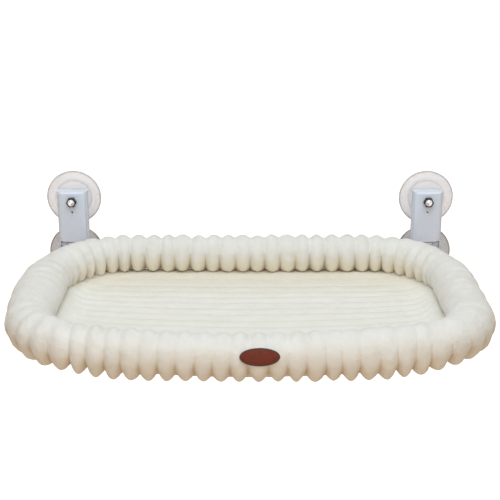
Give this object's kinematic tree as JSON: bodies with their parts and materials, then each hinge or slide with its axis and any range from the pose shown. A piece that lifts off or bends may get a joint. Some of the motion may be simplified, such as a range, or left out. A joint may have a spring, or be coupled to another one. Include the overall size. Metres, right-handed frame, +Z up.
{
  "type": "window mounted cat perch",
  "caption": "Ribbed plush cat bed on a bent tube frame, hung from brackets with suction cups on a window and folding up on two hinge pins.",
  "frame": {"origin": "middle of the four suction cups, on the glass", "axes": "+Y points into the glass, the room and the bed lie towards -Y, +X to the right seen from the room, +Z up"},
  "size_m": [0.61, 0.45, 0.1801],
  "materials": {
    "bracket_plastic": "satin moulded",
    "cover_plastic": "satin moulded",
    "screw_steel": "zinc plated",
    "clear_pvc": "clear soft vinyl",
    "stud_steel": "bright zinc",
    "frame_paint": "white powder coat",
    "elbow_plastic": "moulded",
    "base_fabric": "woven canvas",
    "plush": "short ribbed plush",
    "mat_plush": "short ribbed plush",
    "label_leather": "pressed leather",
    "zip_tape": "woven tape with moulded teeth",
    "zip_metal": "plated"
  },
  "bodies": {
    "window_mounts": {"left_back_shell": "bracket_plastic", "right_back_shell": "bracket_plastic", "left_front_cover": "cover_plastic", "right_front_cover": "cover_plastic", "left_cover_screws": "screw_steel", "right_cover_screws": "screw_steel", "left_pivot_pin": "screw_steel", "right_pivot_pin": "screw_steel", "left_pin_clip": "screw_steel", "right_pin_clip": "screw_steel", "left_lower_washer": "screw_steel", "right_lower_washer": "screw_steel", "left_upper_cup": "clear_pvc", "right_upper_cup": "clear_pvc", "left_lower_cup": "clear_pvc", "right_lower_cup": "clear_pvc", "left_upper_stud": "stud_steel", "right_upper_stud": "stud_steel", "left_lower_stud": "stud_steel", "right_lower_stud": "stud_steel", "left_upper_nut": "stud_steel", "right_upper_nut": "stud_steel", "left_lower_nut": "stud_steel", "right_lower_nut": "stud_steel"},
    "perch": {"left_arm": "bracket_plastic", "right_arm": "bracket_plastic", "left_arm_screw": "screw_steel", "right_arm_screw": "screw_steel", "frame_front_tube": "frame_paint", "frame_left_tube": "frame_paint", "frame_right_tube": "frame_paint", "rear_crossbar": "frame_paint", "frame_left_elbow": "elbow_plastic", "frame_right_elbow": "elbow_plastic", "frame_joint_screws": "screw_steel", "crossbar_screws": "screw_steel", "base_panel": "base_fabric", "bolster_front": "plush", "bolster_rear": "plush", "mat": "mat_plush", "leather_label": "label_leather", "zip_tape": "zip_tape"},
    "zip_slider_body": {"zip_slider": "zip_metal"},
    "zip_pull_body": {"zip_pull": "zip_metal"}
  },
  "joints": [
    {"name": "perch_fold", "type": "hinge", "parent": "window_mounts", "child": "perch", "pos_m": [0, -0.0179, -0.0239], "axis": [-1, 0, 0], "range_deg": [0, 85], "deforming": ["bolster_rear"]},
    {"name": "zip_slide", "type": "slide", "parent": "perch", "child": "zip_slider_body", "axis": [-1, 0, 0], "range_m": [0, 0.31]},
    {"name": "zip_pull_swing", "type": "hinge", "parent": "zip_slider_body", "child": "zip_pull_body", "pos_m": [0.158, -0.1227, -0.0741], "axis": [0, 1, 0], "range_deg": [-80, 80]}
  ]
}
